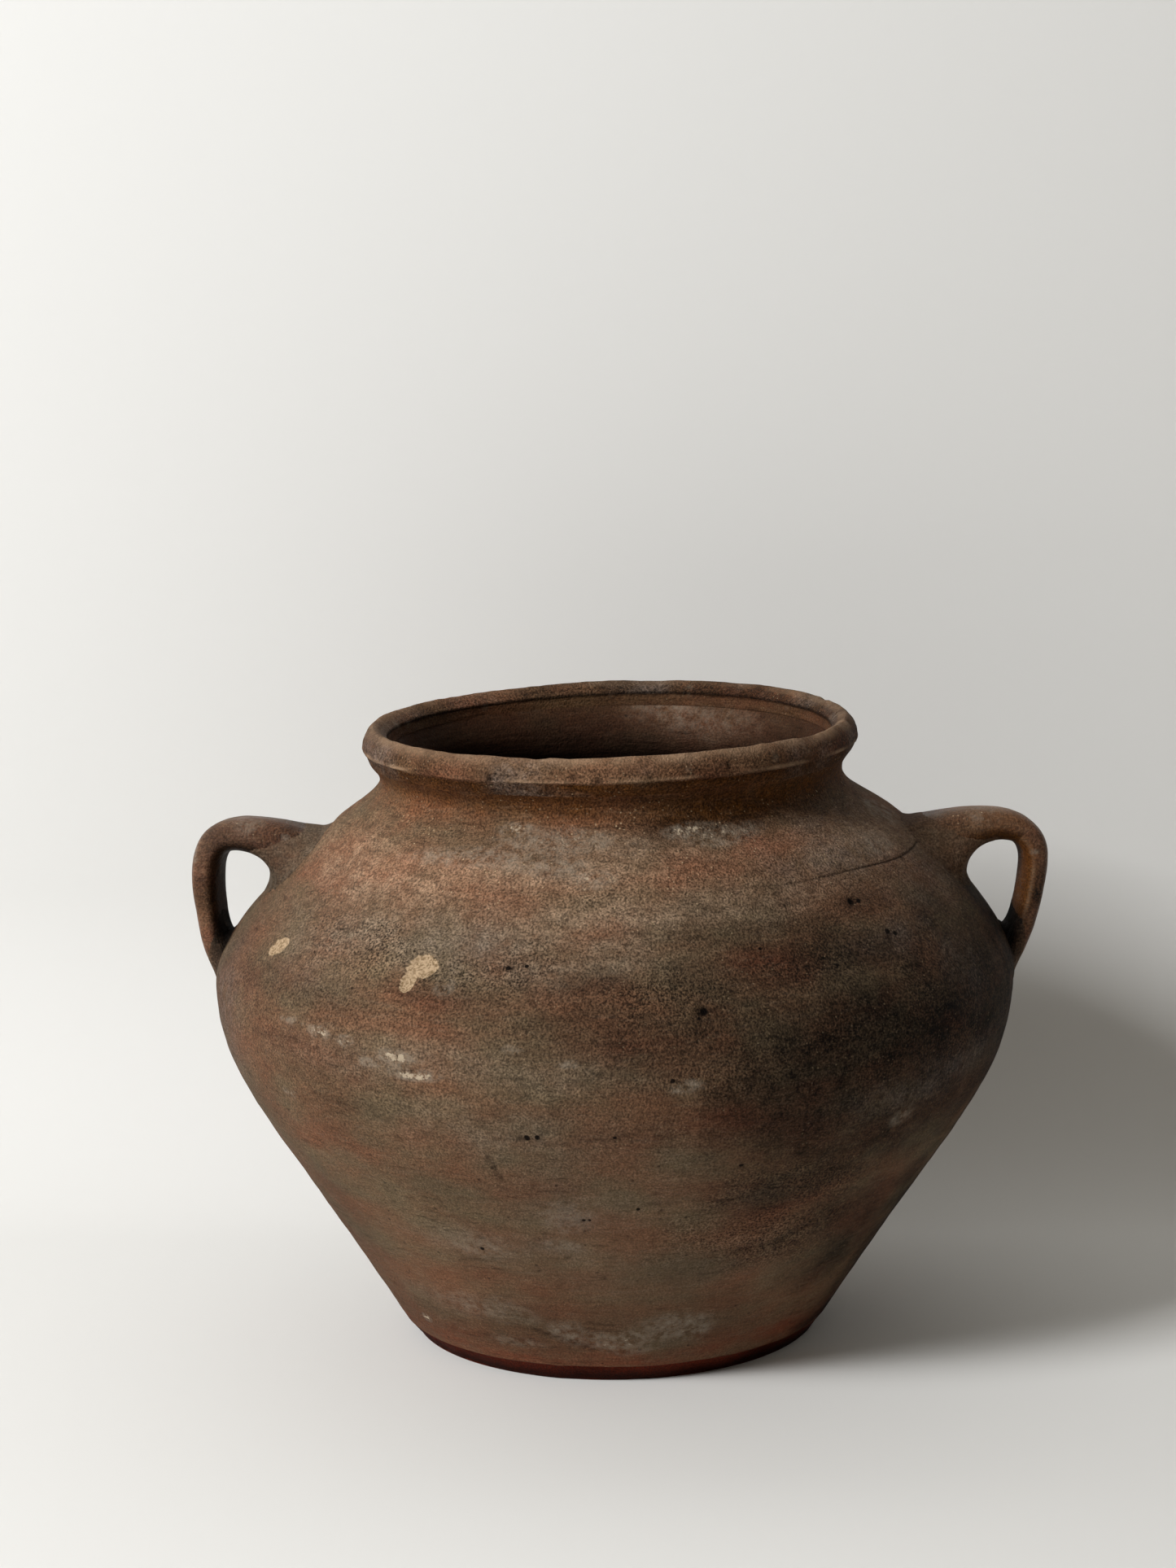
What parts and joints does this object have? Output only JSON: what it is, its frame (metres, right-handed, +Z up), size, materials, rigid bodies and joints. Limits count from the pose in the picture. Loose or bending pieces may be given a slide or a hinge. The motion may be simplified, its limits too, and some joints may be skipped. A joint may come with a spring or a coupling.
{
  "type": "two-handled urn",
  "caption": "Squat wheel-thrown earthenware pot with a wide belly, short neck, everted rim band, flat undercut foot and ear handles luted to the shoulder; stores or cooks food and liquids.",
  "frame": {"origin": "middle of the flat foot, on the surface that the pot stands on", "axes": "+Z up along the axis of the pot, +X towards the right handle, +Y to the back"},
  "size_m": [0.3646, 0.34, 0.2633],
  "materials": {
    "body_clay": "unglazed earthenware, wiped smooth, smoke-darkened in patches",
    "rim_clay": "unglazed earthenware, crest rubbed pale by use",
    "handle_clay": "unglazed earthenware, polished by hands",
    "luting_clay": "unglazed earthenware, smeared by fingers",
    "foot_clay": "unglazed earthenware, cut with a wire, rough and dark"
  },
  "bodies": {
    "root": {"base_disc": "foot_clay", "body_wall": "body_clay", "shoulder_neck": "body_clay", "rim_band": "rim_clay", "right_handle": "handle_clay", "right_upper_luting": "luting_clay", "right_lower_luting": "luting_clay", "left_handle": "handle_clay", "left_upper_luting": "luting_clay", "left_lower_luting": "luting_clay"}
  },
  "joints": []
}
